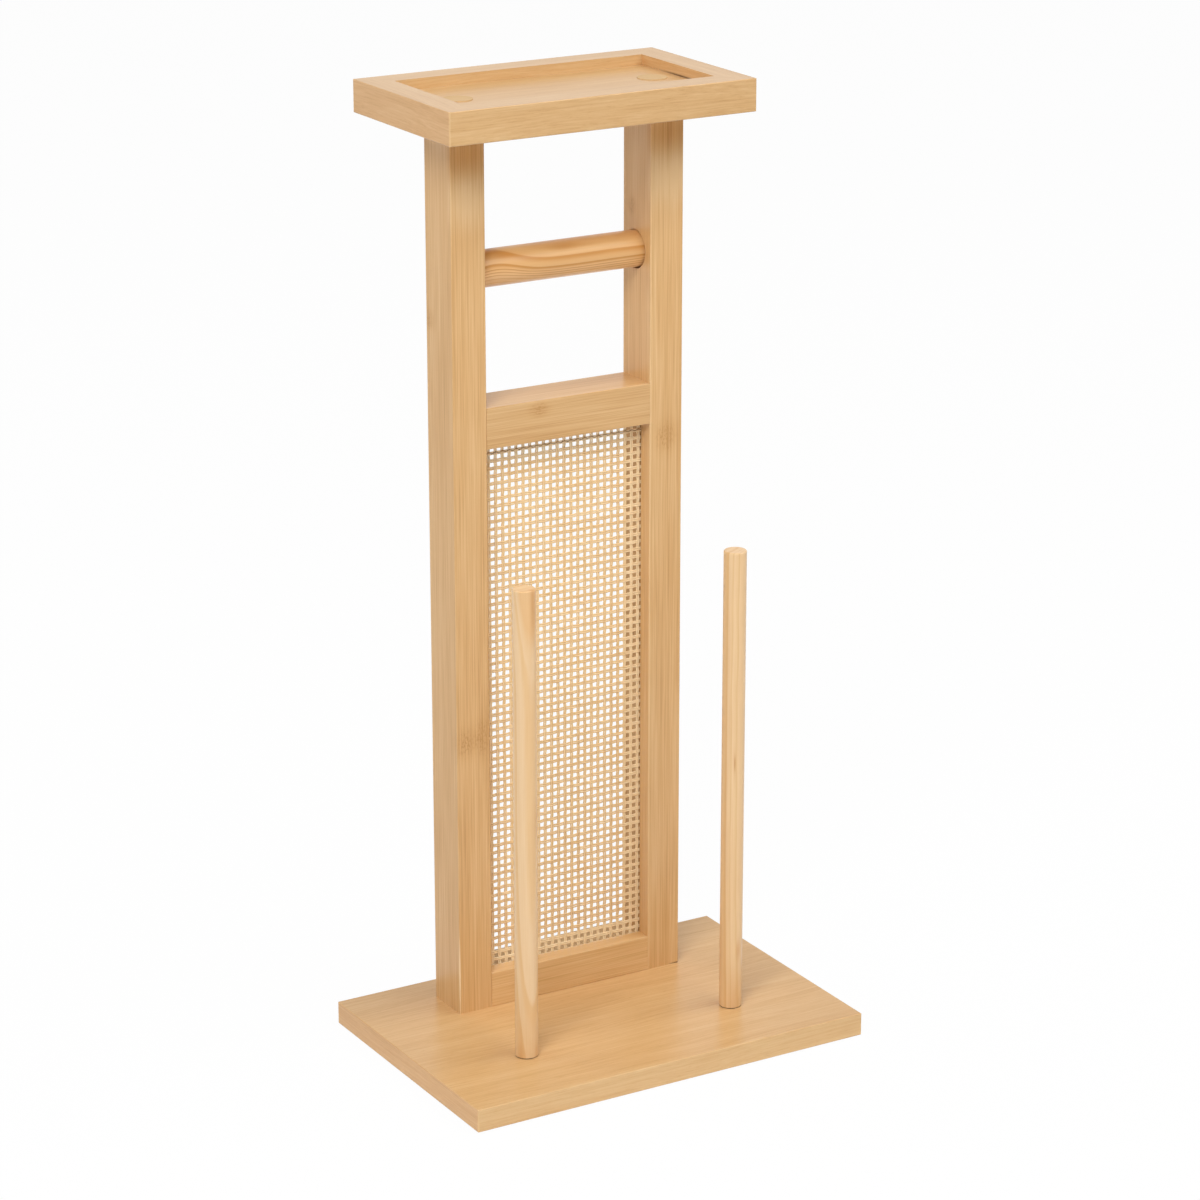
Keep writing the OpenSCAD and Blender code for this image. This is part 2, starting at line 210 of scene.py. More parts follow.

# %% [markdown]
# Some marks belong to one place: a knuckle, a painted highlight on a corner, a
# dark joint, painted shade in a narrow gap. They could be painted on a picture,
# but a picture would need a map of the surface.
# An egg or a short reach round an edge, measured in millimetres, needs none.
# Fine bumps under the lacquer keep the shine from looking like plain plastic.

# %% Marks that belong to one place
BUMP_STRENGTH = 0.6
FACING = 0.75
# A painted highlight on an upright edge is full up to the core and gone at the reach.
EDGE_CORE, EDGE_REACH = 0.3, 1.3

def relief(finish, height, depth_mm):
    """Fine bumps under the lacquer."""
    bump = finish.node("Bump")
    bump.inputs["Strength"].default_value = BUMP_STRENGTH
    bump.inputs["Distance"].default_value = depth_mm * MM
    finish.join(height, bump.inputs["Height"])
    finish.join(bump.outputs["Normal"], finish.shader.inputs["Normal"])

def spot(finish, place, centre, size):
    """1 at the centre, falling to 0 at the edge of an egg with the given half sizes."""
    off = finish.vector("DIVIDE", finish.vector("SUBTRACT", place, centre), size)
    length = finish.node("VectorMath", off, operation="LENGTH").outputs["Value"]
    return finish.fade(length, 0.0, 1.0, 1.0, 0.0)

def upright_edge(finish, x, y):
    """1 on an upright edge of a piece, falling to 0 a little way from it."""
    flat = finish.vector("MULTIPLY", place_in(finish), (1, 1, 0))
    off = finish.node("VectorMath", flat, (x, y, 0), operation="DISTANCE").outputs["Value"]
    return finish.fade(off, EDGE_CORE, EDGE_REACH, 1.0, 0.0)

def facing(finish, axis):
    """How much a surface faces along an axis, from -1 to 1."""
    return finish.node("SeparateXYZ", finish.node("TexCoord").outputs["Normal"]).outputs[axis]

def faces_against(finish, axis):
    """1 where a surface faces against an axis: left for X, the front for Y."""
    return finish.math("LESS_THAN", facing(finish, axis), -FACING)

def with_stains_and_painted_light(finish, colour, place, stains_and_painted_light):
    """The colour with soft egg-shaped marks, each a middle, half sizes and a tone: dark joints and painted
    light.
    """
    for centre, size, mark_tone in stains_and_painted_light:
        colour = finish.mix(spot(finish, place, centre, size), colour, mark_tone)
    return colour

# The painted highlight along an upright edge reaches this far.
print("an edge's wear reaches", EDGE_REACH, "mm")

# %% [markdown]
# A piece wears a finish through its first material slot. The wood's value runs
# from dark to pale over three tones, at the same three stops for every wood.

# %% Dress a piece
TONE_STOPS = (0.1, 0.5, 0.9)
# A dark joint's tone, also used as painted shade in the narrow gaps at the feet.
JOINT_AND_GAP_SHADE_TONE = tone(96, 62, 30)

def dress(finish, *names):
    """Put a finish on pieces of the packed model."""
    for name in names:
        nodes[name].data.materials.clear()
        nodes[name].data.materials.append(finish.material)
    print(finish.material.name, "on", ", ".join(names))

print("dark, middle and pale wood stand at", TONE_STOPS)

# %% [markdown]
# The wood wears a clear satin lacquer. It is nearly as smooth as glass once it
# has flowed out, so it shows a soft mirror image at a low angle: the base board
# reflects the posts. The tray's coat is a little glossier, which makes its floor
# look paler than the sides of its rim. Wood that no cloth reaches stays dull.

# %% Lacquer
SATIN = 0.31
LACQUER_IOR = 1.42
TRAY_IOR = 1.5
DULL = 0.6
RELIEF_MM = 0.012
print("roughness of the lacquer:", SATIN, "and its index:", LACQUER_IOR)

# %% [markdown]
# The base board, the tray's floor and its mitred rim are a pale, close-grained
# wood like beech: soft wavy bands, finer streaks and many short dark pores. The
# board's short ends carry an edge strip whose grain runs along the strip, so
# there the grain is picked by which way the surface faces. The base's front side
# is painted paler and sides that face left are painted warmer, both painted
# light, and the near upright corners carry a pale painted highlight.

# %% Pale board values
BASE_TONES = [tone(199, 154, 99), tone(212, 170, 117), tone(221, 184, 133)]
TRAY_TONES = [tone(189, 146, 91), tone(204, 163, 111), tone(213, 177, 128)]
BOARD_MIDDLE = 0.52
BOARD_WAVE, WAVE_BEND = (45, 150, 1.0), (16.0, 7.0)
BOARD_BANDS, BAND_SWING = (10, 220, 2.0), 0.65
BOARD_STREAKS, STREAK_SWING = (1.25, 80, 2.0), 1.0
BOARD_FIBRES, FIBRE_SWING = (0.45, 16, 2.0), 0.6
BOARD_PORES, PORE_FADE, PORE_SHADE, PORE_RELIEF = (0.5, 5, 1.0), (0.60, 0.74), -0.22, 0.8
# Painted light on the base's front side, painted highlights on corners and painted warmer light on sides
# that face left.
BASE_FRONT_PAINTED_LIGHT = 0.2
CORNER_PAINTED_HIGHLIGHT = 0.4
LEFT_SIDE_PAINTED_LIGHT = (1.05, 0.99, 0.94, 1)
print("a streak of pale board is", BOARD_STREAKS[0], "by", BOARD_STREAKS[1], "mm")

# %% Pale board
def pale_board(name, order, seed, tones, end_order=None, swing=1.0, roughness=SATIN, ior=LACQUER_IOR,
               inner=None, edges=(), stains_and_painted_light=()):
    """Close-grained wood. inner is an axis and how much paler the side against it is."""
    wood = Finish(name, roughness)
    place = place_in(wood, order)
    if end_order:
        at_end = wood.math("GREATER_THAN", wood.math("ABSOLUTE", facing(wood, "X")), FACING)
        place = wood.mix(at_end, place, place_in(wood, end_order), kind="VECTOR")
    wave = marks(wood, place, *BOARD_WAVE, seed)
    bent = wood.vector("ADD", place, wood.node(
        "CombineXYZ", *(wood.math("MULTIPLY", wave, bend) for bend in WAVE_BEND)).outputs[0])
    bands = marks(wood, bent, *BOARD_BANDS, seed + 3)
    streaks = marks(wood, bent, *BOARD_STREAKS, seed + 7)
    fibres = marks(wood, bent, *BOARD_FIBRES, seed + 11)
    pores = wood.fade(marks(wood, bent, *BOARD_PORES, seed + 13), *PORE_FADE)
    value = add_up(wood, BOARD_MIDDLE, (bands, BAND_SWING * swing), (streaks, STREAK_SWING * swing),
                   (fibres, FIBRE_SWING * swing))
    value = wood.raised(value, pores, PORE_SHADE * swing)
    if end_order:
        # Painted light: the base's front side comes out paler.
        value = wood.raised(value, faces_against(wood, "Y"), BASE_FRONT_PAINTED_LIGHT)
    if inner:
        axis, amount = inner
        value = wood.raised(value, faces_against(wood, axis), amount)
    # A painted highlight along each near upright corner.
    for x, y in edges:
        value = wood.raised(value, upright_edge(wood, x, y), CORNER_PAINTED_HIGHLIGHT)
    colour = wood.ramp(value, list(zip(TONE_STOPS, tones)))
    # Painted light: sides that face left are tinted warmer.
    colour = wood.mix(faces_against(wood, "X"), colour, LEFT_SIDE_PAINTED_LIGHT, blend_type="MULTIPLY")
    wood.paint(with_stains_and_painted_light(wood, colour, place, stains_and_painted_light), ior)
    relief(wood, wood.math("SUBTRACT", fibres, wood.math("MULTIPLY", pores, PORE_RELIEF)), RELIEF_MM)
    return wood

# The base's near corner gets a painted highlight.
base_corner = (base_low.x / MM, base_low.y / MM)
dress(pale_board("pale_board", "YZX", 1.0, BASE_TONES, end_order="XZY", edges=[base_corner]), "base_board")

# %% [markdown]
# The tray's long strips and its floor run left to right, the short strips front
# to back. The inner sides of the back and right strips catch light that bounces
# off the tray's floor. A few lamps can't copy that, so those sides are a touch
# paler. The floor is a separate board, and a dark joint shows at its right side.

# %% Dress the tray
BACK_INNER_LIFT, RIGHT_INNER_LIFT = 0.16, 0.2
LONG_SEED, SHORT_SEED = 21.0, 33.0

tray_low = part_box("tray_front_rim")[0] / MM
tray_corner = (tray_low.x, tray_low.y)
floor_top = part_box("tray_floor")[1] / MM
RIGHT_JOINT = [((floor_top.x, floor_top.z + 0.2, 41), (3, 1.35, 34), JOINT_AND_GAP_SHADE_TONE)]

# The tray's near corner gets a painted highlight.
dress(pale_board("tray_board", "YZX", LONG_SEED, TRAY_TONES, ior=TRAY_IOR, edges=[tray_corner]),
      "tray_floor", "tray_front_rim")
dress(pale_board("tray_back_strip", "YZX", LONG_SEED, TRAY_TONES, ior=TRAY_IOR,
                 inner=("Y", BACK_INNER_LIFT)),
      "tray_back_rim")
# The left strip's near corner gets a painted highlight too.
dress(pale_board("tray_end_strips", "XZY", SHORT_SEED, TRAY_TONES, ior=TRAY_IOR, edges=[tray_corner]),
      "tray_left_rim")
dress(pale_board("tray_right_strip", "XZY", SHORT_SEED, TRAY_TONES, ior=TRAY_IOR,
                 inner=("X", RIGHT_INNER_LIFT), stains_and_painted_light=RIGHT_JOINT),
      "tray_right_rim")

# %% [markdown]
# Posts and rails are laminated bamboo: narrow strips glued side by side, each a
# touch lighter or darker than the next, with fine straight fibres. Where the
# stalk had a knuckle, a strip shows a soft darker zone about an inch long with
# flecks. A stand like this has only a few of them, so each is given one by one,
# as the place of its middle and half its size, across, through and along.

# %% Bamboo values
POST_TONES = [tone(187, 140, 83), tone(211, 167, 112), tone(225, 188, 138)]
UPPER_TONES = [tone(187, 140, 83), tone(206, 163, 110), tone(219, 183, 133)]
# The lower rail's tones are brighter, as painted light against the shade of the cane and the rods.
LOWER_TONES = [tone(197, 151, 91), tone(218, 175, 120), tone(230, 194, 143)]
STRIP_THIN, STRIP_WIDE = 6.25, 17.5
BAMBOO_MIDDLE = 0.52
SLAT_SWING = 0.10
DRIFT, DRIFT_SWING = (25, 110, 1.0), 0.40
BROAD, BROAD_SWING = (4, 200, 1.0), 0.20
BAMBOO_STREAKS, BAMBOO_STREAK_SWING = (1.1, 120, 2.0), 0.5
BAMBOO_FIBRES, BAMBOO_FIBRE_SWING = (0.6, 60, 2.0), 1.1
FLECKS, FLECK_FADE, FLECK_SHADE = (0.9, 2.6, 2.0), (0.46, 0.66), -0.38
KNUCKLE_SHADE, KNUCKLE_CORE = -0.20, 0.7
print("a fibre of bamboo is", BAMBOO_FIBRES[0], "by", BAMBOO_FIBRES[1], "mm")

# %% [markdown]
# Behind the cane panel the posts' inner sides and the top of the lower rail are
# dull, as wood is where no cloth rubs it. A glossy coat would put a pale
# reflection into the small holes of the weave. The posts are a touch darker
# there, a painted shade, and the rail's top is paler, painted light against the
# cane's shadow, which is how they show through the holes.

# %% Where the cane covers the wood
# Painted shade on the posts and painted light on the rail, behind the cane.
POST_PAINTED_SHADE, RAIL_PAINTED_LIGHT = -0.1, 0.9
SKIN = 0.3

cane_low, cane_high = (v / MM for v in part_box("cane_panel"))
cane_y = (cane_low.y + cane_high.y) / 2
rail_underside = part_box("upper_rail")[0].z / MM
lower_rail_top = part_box("lower_rail")[1].z / MM
post_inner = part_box("right_post")[0].x / MM
print("cane panel in mm:", [round(v, 1) for v in (*cane_low, *cane_high)])

def behind_cane(finish, from_z):
    """1 on what lies behind the cane panel and above from_z, between the posts."""
    x, y, z = finish.node("SeparateXYZ", place_in(finish)).outputs
    inner = finish.math("LESS_THAN", finish.math("ABSOLUTE", x), post_inner + SKIN)
    back = finish.math("GREATER_THAN", y, cane_y)
    below = finish.math("LESS_THAN", z, rail_underside)
    above = finish.math("GREATER_THAN", z, from_z)
    return finish.math("MULTIPLY", finish.math("MULTIPLY", inner, back),
                       finish.math("MULTIPLY", below, above))

# %% [markdown]
# The finish adds up the strips, the slow drift of tone, the streaks and the
# fibres, and then the knuckles. Lifts are painted light, places that come out
# paler than the lamps leave them. Shades are painted shade on the post tops
# right under the tray, where the stand looks darker and warmer than soft lamps
# alone leave it.

# %% Laminated bamboo
# Painted shade: the warm dark tint on the post tops under the tray.
UNDER_TRAY_PAINTED_SHADE = (0.95, 0.8, 0.54, 1)

def bamboo(name, order, seed, tones, knuckles, stains_and_painted_light=(), painted_lights=(), painted_shades=(), edge=None, dull_and_painted_behind_cane=None):
    """Glued bamboo strips. edge is x, y and a painted highlight; behind the cane, a height and painted
    light.
    """
    wood = Finish(name, SATIN)
    place = place_in(wood, order)
    cell = wood.vector("FLOOR", wood.vector("MULTIPLY_ADD", place, (1 / STRIP_THIN, 1 / STRIP_WIDE, 0),
                                            (0.5, 0.5, seed)))
    slat = wood.node("TexWhiteNoise", cell, noise_dimensions="3D").outputs["Value"]
    fibres = marks(wood, place, *BAMBOO_FIBRES, seed + 9)
    flecks = wood.fade(marks(wood, place, *FLECKS, seed + 15), *FLECK_FADE)
    value = add_up(wood, BAMBOO_MIDDLE, (slat, SLAT_SWING),
                   (marks(wood, place, *DRIFT, seed), DRIFT_SWING),
                   (marks(wood, place, *BROAD, seed + 2), BROAD_SWING),
                   (marks(wood, place, *BAMBOO_STREAKS, seed + 5), BAMBOO_STREAK_SWING),
                   (fibres, BAMBOO_FIBRE_SWING))
    for centre, size in knuckles:
        core = spot(wood, place, centre, [s * KNUCKLE_CORE for s in size])
        value = wood.raised(value, spot(wood, place, centre, size), KNUCKLE_SHADE)
        value = wood.raised(value, wood.math("MULTIPLY", core, flecks), FLECK_SHADE)
    # Painted light: places that come out paler than the lamps leave them.
    for centre, size, amount in painted_lights:
        value = wood.raised(value, spot(wood, place, centre, size), amount)
    # A painted highlight along an upright corner.
    if edge:
        x, y, amount = edge
        value = wood.raised(value, upright_edge(wood, x, y), amount)
    # Behind the cane: dull wood, with painted shade on the posts and painted light on the rail.
    if dull_and_painted_behind_cane:
        from_z, amount = dull_and_painted_behind_cane
        covered = behind_cane(wood, from_z)
        value = wood.raised(value, covered, amount)
        wood.join(wood.math("MULTIPLY_ADD", covered, DULL - SATIN, SATIN), wood.shader.inputs["Roughness"])
    colour = wood.ramp(value, list(zip(TONE_STOPS, tones)))
    # Painted shade on the post tops under the tray.
    for centre, size in painted_shades:
        colour = wood.mix(spot(wood, place, centre, size), colour, UNDER_TRAY_PAINTED_SHADE, blend_type="MULTIPLY")
    wood.paint(with_stains_and_painted_light(wood, colour, place, stains_and_painted_light), LACQUER_IOR)
    relief(wood, fibres, RELIEF_MM)
    return wood

# The tint of the painted shade under the tray.
print("the post tops are tinted by", UNDER_TRAY_PAINTED_SHADE[:3])

# %% [markdown]
# The left post has a large knuckle on its front, low down, and the right post
# has its knuckle higher up and a dark line of painted shade in the gap at its
# foot. Both near upright corners carry a painted highlight, brightest on the
# left post over the base. Both posts have painted shade under the tray and come
# out of it over a stretch of painted light, and painted light keeps the top of
# the left post's left side and of the right post's inner side pale.

# %% Dress the posts
# Painted highlights: the tone low on the left post's corner, and how much each post's upright corner gets.
HIGHLIGHT_TONE = tone(250, 226, 186)
LEFT_CORNER_HIGHLIGHT, RIGHT_CORNER_HIGHLIGHT = 0.12, 0.3

left_corner = [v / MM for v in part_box("left_post")[0].xy]
right_corner = [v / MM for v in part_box("right_post")[0].xy]
# Behind the cane the posts are dull and carry a painted shade.
post_dull_and_painted = (base_top, POST_PAINTED_SHADE)

LEFT_KNUCKLES = [((-69, 28, 216), (12, 16, 26)), ((-81, 28, 213), (12, 16, 20)),
                 ((-88, 58, 500), (6, 10, 13)), ((-75, 63, 330), (10, 10, 14)), ((-70, 63, 95), (9, 9, 13))]
# Painted highlight on the left post's near corner, low down.
LEFT_PAINTED_HIGHLIGHT = [((*left_corner, 45), (1.2, 1.2, 42), HIGHLIGHT_TONE)]
# Painted light: the top of the left side, and a pale stretch below the shade.
LEFT_PAINTED_LIGHT = [((-87.5, 45, 632), (4, 24, 26), 0.6), ((-75, 27.7, 582), (34, 9, 28), 0.45)]
# Painted shade under the tray.
LEFT_PAINTED_SHADE = [((-75, 27.7, 613), (34, 9, 22))]
dress(bamboo("bamboo_left_post", "XYZ", 2.0, POST_TONES, LEFT_KNUCKLES, LEFT_PAINTED_HIGHLIGHT, LEFT_PAINTED_LIGHT, LEFT_PAINTED_SHADE,
             (*left_corner, LEFT_CORNER_HIGHLIGHT), post_dull_and_painted), "left_post")

RIGHT_KNUCKLES = [((75, 28, 405), (16, 16, 20)), ((88, 48, 250), (8, 12, 14)),
                  ((77, 63, 520), (10, 10, 14)), ((63, 52, 560), (8, 9, 12))]
# Painted shade: a dark line in the gap at the right post's foot.
RIGHT_FOOT_PAINTED_SHADE = [((86, 27.5, base_top), (9, 4, 1.4), JOINT_AND_GAP_SHADE_TONE)]
# Painted light: a pale stretch below the shade, and the top of the inner side.
RIGHT_PAINTED_LIGHT = [((75, 27.7, 582), (34, 9, 28), 0.4), ((62.5, 45, 600), (4, 24, 50), 0.25)]
# Painted shade under the tray.
RIGHT_PAINTED_SHADE = [((75, 27.7, 613), (34, 9, 22))]
dress(bamboo("bamboo_right_post", "XYZ", 41.0, POST_TONES, RIGHT_KNUCKLES, RIGHT_FOOT_PAINTED_SHADE, RIGHT_PAINTED_LIGHT,
             RIGHT_PAINTED_SHADE, (*right_corner, RIGHT_CORNER_HIGHLIGHT), post_dull_and_painted), "right_post")

# %% [markdown]
# The rails have tones of their own: the upper one a little duller than the
# posts, the lower one a little brighter, which is painted light against the shade
# of the cane and the rods. Their grain runs left to right, so a place here is
# given as height, depth and side.

# %% Dress the rails
UPPER_KNUCKLES = [((437, 28, -23), (9, 12, 13)), ((424, 63, 30), (9, 10, 13))]
LOWER_KNUCKLES = [((24, 63, -28), (9, 10, 13))]
dress(bamboo("bamboo_upper_rail", "ZYX", 57.0, UPPER_TONES, UPPER_KNUCKLES), "upper_rail")
# The lower rail's top behind the cane gets painted light.
dress(bamboo("bamboo_lower_rail", "ZYX", 73.0, LOWER_TONES, LOWER_KNUCKLES,
             dull_and_painted_behind_cane=(lower_rail_top - SKIN, RAIL_PAINTED_LIGHT)), "lower_rail")

# %% [markdown]
# The roll bar and the two rods are turned pine. A pine trunk is a stack of
# cones: pale early wood that darkens slowly and ends in a sharp line of late
# wood each year. A turned rod cuts those rings at a slant, which draws long
# lines and pointed arches. So the finish measures the distance from a pith
# line, lets it swell at chosen places along the rod, and looks the distance
# up in a list of rings. A list is freer than a repeated ring, because good and
# bad years are wide and narrow.

# %% Pine values
RING_WARP, RING_RIPPLE = (9, 60, 1.0), (2.0, 22, 1.0)
PINE_FIBRES, PINE_FIBRE_SWING = (0.45, 40, 2.0), 0.34
PINE_BROAD, PINE_BROAD_SWING = (3, 60, 1.0), 0.26
LATE_SHARE = 0.10
# How far above the board the painted shade round a rod's foot fades out.
FOOT_SHADE_FADE = (0.4, 0.9)
print("a fibre of pine is", PINE_FIBRES[0], "by", PINE_FIBRES[1], "mm")

# %% Turned pine
def hill(finish, value, centre, width):
    """1 at the centre, and close to 0 two widths away."""
    off = finish.math("DIVIDE", finish.math("SUBTRACT", value, centre), width)
    return finish.math("EXPONENT", finish.math("MULTIPLY", finish.math("MULTIPLY", off, off), -1.0))

def pine(name, order, origin, pith, hills, rings, late_tone, spots, seed, foot=None, wander=(1.2, 0.5)):
    """Wood cut through rings round a pith line. foot is the height of a line of painted shade round a rod.
    """
    wood = Finish(name, SATIN)
    place = place_in(wood, order, origin)
    first, second, along = wood.node("SeparateXYZ", place).outputs
    flat = wood.node("CombineXYZ", first, second, 0.0).outputs[0]
    radius = wood.node("VectorMath", flat, (*pith, 0), operation="DISTANCE").outputs["Value"]
    for centre, width, lift in hills:
        radius = wood.raised(radius, hill(wood, along, centre, width), lift)
    radius = wood.math("ADD", radius, add_up(wood, 0.0, (marks(wood, place, *RING_WARP, seed), wander[0]),
                                             (marks(wood, place, *RING_RIPPLE, seed + 4), wander[1])))
    inner, outer = rings[0][0], rings[-1][0]
    share = wood.math("DIVIDE", wood.math("SUBTRACT", radius, inner), outer - inner)
    colour = wood.ramp(share, [((r - inner) / (outer - inner), tone(*t)) for r, t in rings])
    fibres = marks(wood, place, *PINE_FIBRES, seed + 8)
    dark = add_up(wood, LATE_SHARE, (fibres, PINE_FIBRE_SWING),
                  (marks(wood, place, *PINE_BROAD, seed + 12), PINE_BROAD_SWING))
    for centre, size, amount in spots:
        dark = wood.raised(dark, spot(wood, place, centre, size), amount)
    colour = wood.mix(dark, colour, tone(*late_tone))
    # Painted shade of the narrow gap round the rod's foot.
    if foot is not None:
        line = wood.fade(along, foot + FOOT_SHADE_FADE[0], foot + FOOT_SHADE_FADE[1], 1.0, 0.0)
        colour = wood.mix(line, colour, JOINT_AND_GAP_SHADE_TONE)
    wood.paint(colour, LACQUER_IOR)
    relief(wood, fibres, RELIEF_MM)
    return wood

def middle_of(name):
    """The middle of a packed piece's box, in mm."""
    low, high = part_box(name)
    return [(a + b) / 2 / MM for a, b in zip(low, high)]

bar_mid = middle_of("roll_bar")
print("the bar's middle in mm:", [round(v, 1) for v in bar_mid])

# %% [markdown]
# The bar shows two dark lines that part and meet again round a pale island, and
# closer lines under them. Each ring is its distance from the pith in mm and its
# tone. The spots are places where the late wood shows through more.

# %% Dress the roll bar
BAR_RINGS = [
    (33.0, (222, 170, 113)), (34.6, (234, 190, 138)), (35.6, (219, 166, 108)), (36.2, (236, 193, 142)),
    (38.2, (229, 183, 129)), (39.0, (215, 162, 103)), (39.5, (234, 190, 137)), (40.9, (234, 189, 134)),
    (41.5, (203, 146, 84)), (42.0, (238, 194, 140)), (42.9, (230, 183, 126)), (43.4, (201, 143, 80)),
    (43.9, (236, 192, 137)), (44.7, (226, 177, 119)), (45.2, (198, 140, 76)), (45.7, (231, 186, 129)),
    (46.5, (219, 168, 108)), (47.2, (202, 144, 77)), (47.9, (202, 144, 77)), (48.3, (226, 180, 123)),
    (50.2, (225, 178, 120)), (51.6, (216, 163, 102)), (52.6, (206, 148, 82)), (53.3, (206, 148, 82)),
    (53.7, (229, 183, 125)), (55.8, (230, 186, 128)), (58.8, (222, 171, 112))]
BAR_SPOTS = [((-7.7, 9.8, 4), (5, 5, 19), 0.42), ((-8.8, 8.8, -43), (5, 5, 11), 0.30)]

dress(pine("pine_roll_bar", "YZX", (0, bar_mid[1], bar_mid[2]), pith=(6, -46), hills=[(-50, 25, -5.6)],
           rings=BAR_RINGS, late_tone=(196, 134, 68), spots=BAR_SPOTS, seed=5.0, wander=(1.2, 0.12)),
      "roll_bar")

# %% [markdown]
# The rods are paler pine than the bar, with softer years. The left one has a
# darker streak at its top, the right one a short dark streak halfway up. A thin
# dark line round each foot is painted shade in the narrow gap where the rod
# stands on the board. It is part of the finish, because the real gap is finer
# than a solid should be.

# %% Dress the left rod
LEFT_RINGS = [
    (32.0, (229, 193, 145)), (36.2, (225, 184, 132)), (37.0, (224, 183, 130)), (37.5, (231, 198, 153)),
    (39.8, (230, 196, 151)), (41.2, (227, 187, 136)), (42.1, (226, 186, 134)), (42.7, (233, 201, 158)),
    (46.4, (232, 199, 156)), (47.6, (228, 190, 140)), (48.3, (228, 190, 140)), (48.9, (232, 199, 156)),
    (50.0, (231, 196, 150)), (51.4, (228, 186, 134)), (54.0, (229, 189, 138))]
LEFT_SPOTS = [((4.6, -6.2, 186), (3.2, 3.2, 20), 0.35), ((2.6, -7.3, 338), (4.6, 4.6, 44), 0.62),
              ((-7.0, -3.3, 18), (5, 5, 16), 0.3), ((3.9, -6.7, 18), (4, 4, 14), 0.3)]

left_mid = middle_of("left_spare_rod")
dress(pine("pine_left_rod", "XYZ", (left_mid[0], left_mid[1], 0), pith=(-5, 40),
           hills=[(0, 80, -9.5), (360, 50, 7.0)], rings=LEFT_RINGS, late_tone=(206, 148, 84),
           spots=LEFT_SPOTS, seed=9.0, foot=base_top), "left_spare_rod")

# %% Dress the right rod
RIGHT_RINGS = [
    (23.0, (228, 192, 143)), (24.6, (233, 199, 152)), (25.6, (226, 189, 139)), (26.0, (234, 201, 155)),
    (28.0, (231, 196, 148)), (29.6, (223, 182, 128)), (30.1, (223, 182, 128)), (30.7, (234, 201, 156)),
    (32.6, (232, 198, 151)), (33.3, (226, 188, 137)), (33.7, (235, 202, 157)), (35.4, (231, 196, 148)),
    (36.0, (225, 187, 135)), (36.4, (234, 200, 154)), (38.5, (230, 193, 144))]
RIGHT_SPOTS = [((-3.0, -7.1, 197), (0.6, 0.8, 9), 0.7), ((-3.0, -7.1, 197), (2.0, 2.0, 20), 0.2),
               ((1.0, -7.7, 60), (3.0, 3.0, 12), 0.35), ((-2, -7.4, 20), (8, 4, 40), 0.16)]

right_mid = middle_of("right_spare_rod")
dress(pine("pine_right_rod", "XYZ", (right_mid[0], right_mid[1], 0), pith=(-15, 26),
           hills=[(10, 60, -1.5)], rings=RIGHT_RINGS, late_tone=(196, 134, 72),
           spots=RIGHT_SPOTS, seed=15.0, foot=base_top), "right_spare_rod")

# %% [markdown]
# Cane webbing is made of thin strips split from the rattan's skin, woven in
# pairs: two strips side by side run up, two run across, and they take turns
# in front of each other. It is light because most of it is holes. A picture
# on a flat plane would look wrong from the side, so each strip is a thin swept
# band with a crowned face that really steps over and under its neighbours.

# %% Cane sizes
CANE_PITCH = 5.25
CANE_HOLE_X = 0.3
CANE_HOLE_Z_UNDER_RAIL = 9.5
STRIP_W = 1.18
STRIP_T = 0.42
PAIR_GAP = 0.08
WEAVE_RISE = 0.24
CROSSING_FLAT = 1.35
SHIFT_KEPT, SHIFT_STEP = 0.6, 0.05
STRIP_SECTION = [(-0.5, 0.0), (-0.26, -0.5), (0.26, -0.5), (0.5, 0.0), (0.26, 0.5), (-0.26, 0.5)]

cane_hole_z = rail_underside - CANE_HOLE_Z_UNDER_RAIL
print("a hole every", CANE_PITCH, "mm, the first one at a height of", round(cane_hole_z, 1), "mm")

# %% Tubes and new pieces
def tube_faces(first, rings, corners):
    """Faces round a row of rings, with a flat face closing each end."""
    faces = []
    for i in range(rings - 1):
        for k in range(corners):
            a, b = first + i * corners + k, first + i * corners + (k + 1) % corners
            faces.append((a, b, b + corners, a + corners))
    last = first + (rings - 1) * corners
    faces.append(tuple(range(first + corners - 1, first - 1, -1)))
    faces.append(tuple(range(last, last + corners)))
    return faces

def make_piece(name, points, faces, materials, uses, body, replaced):
    """A mesh that rides on a body and stands for a node of the packed model."""
    mesh = bpy.data.meshes.new(name)
    mesh.from_pydata(points, [], faces)
    for material in materials:
        mesh.materials.append(material)
    mesh.polygons.foreach_set("material_index", uses)
    mesh.shade_smooth()
    mesh.validate()
    piece = bpy.data.objects.new(name, mesh)
    bpy.context.scene.collection.objects.link(piece)
    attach(piece, body)
    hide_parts(replaced)
    print(name, "has", len(mesh.polygons), "faces")
    return piece

print("a six-sided tube of three rings has", len(tube_faces(0, 3, 6)), "faces")

# %% Where the pairs of strips run
def pair_middles(hole, low, high):
    """The pairs' middles, half a pitch from the holes, with a running number for over and under."""
    first = math.ceil((low - hole) / CANE_PITCH - 0.5)
    last = math.floor((high - hole) / CANE_PITCH - 0.5)
    return [(n, hole + (n + 0.5) * CANE_PITCH) for n in range(first, last + 1)]

upright_pairs = pair_middles(CANE_HOLE_X, cane_low.x, cane_high.x)
cross_pairs = pair_middles(cane_hole_z, cane_low.z, cane_high.z)
print(len(upright_pairs), "upright pairs,", len(cross_pairs), "cross pairs")

# %% One strip
cane_random = random.Random(20)

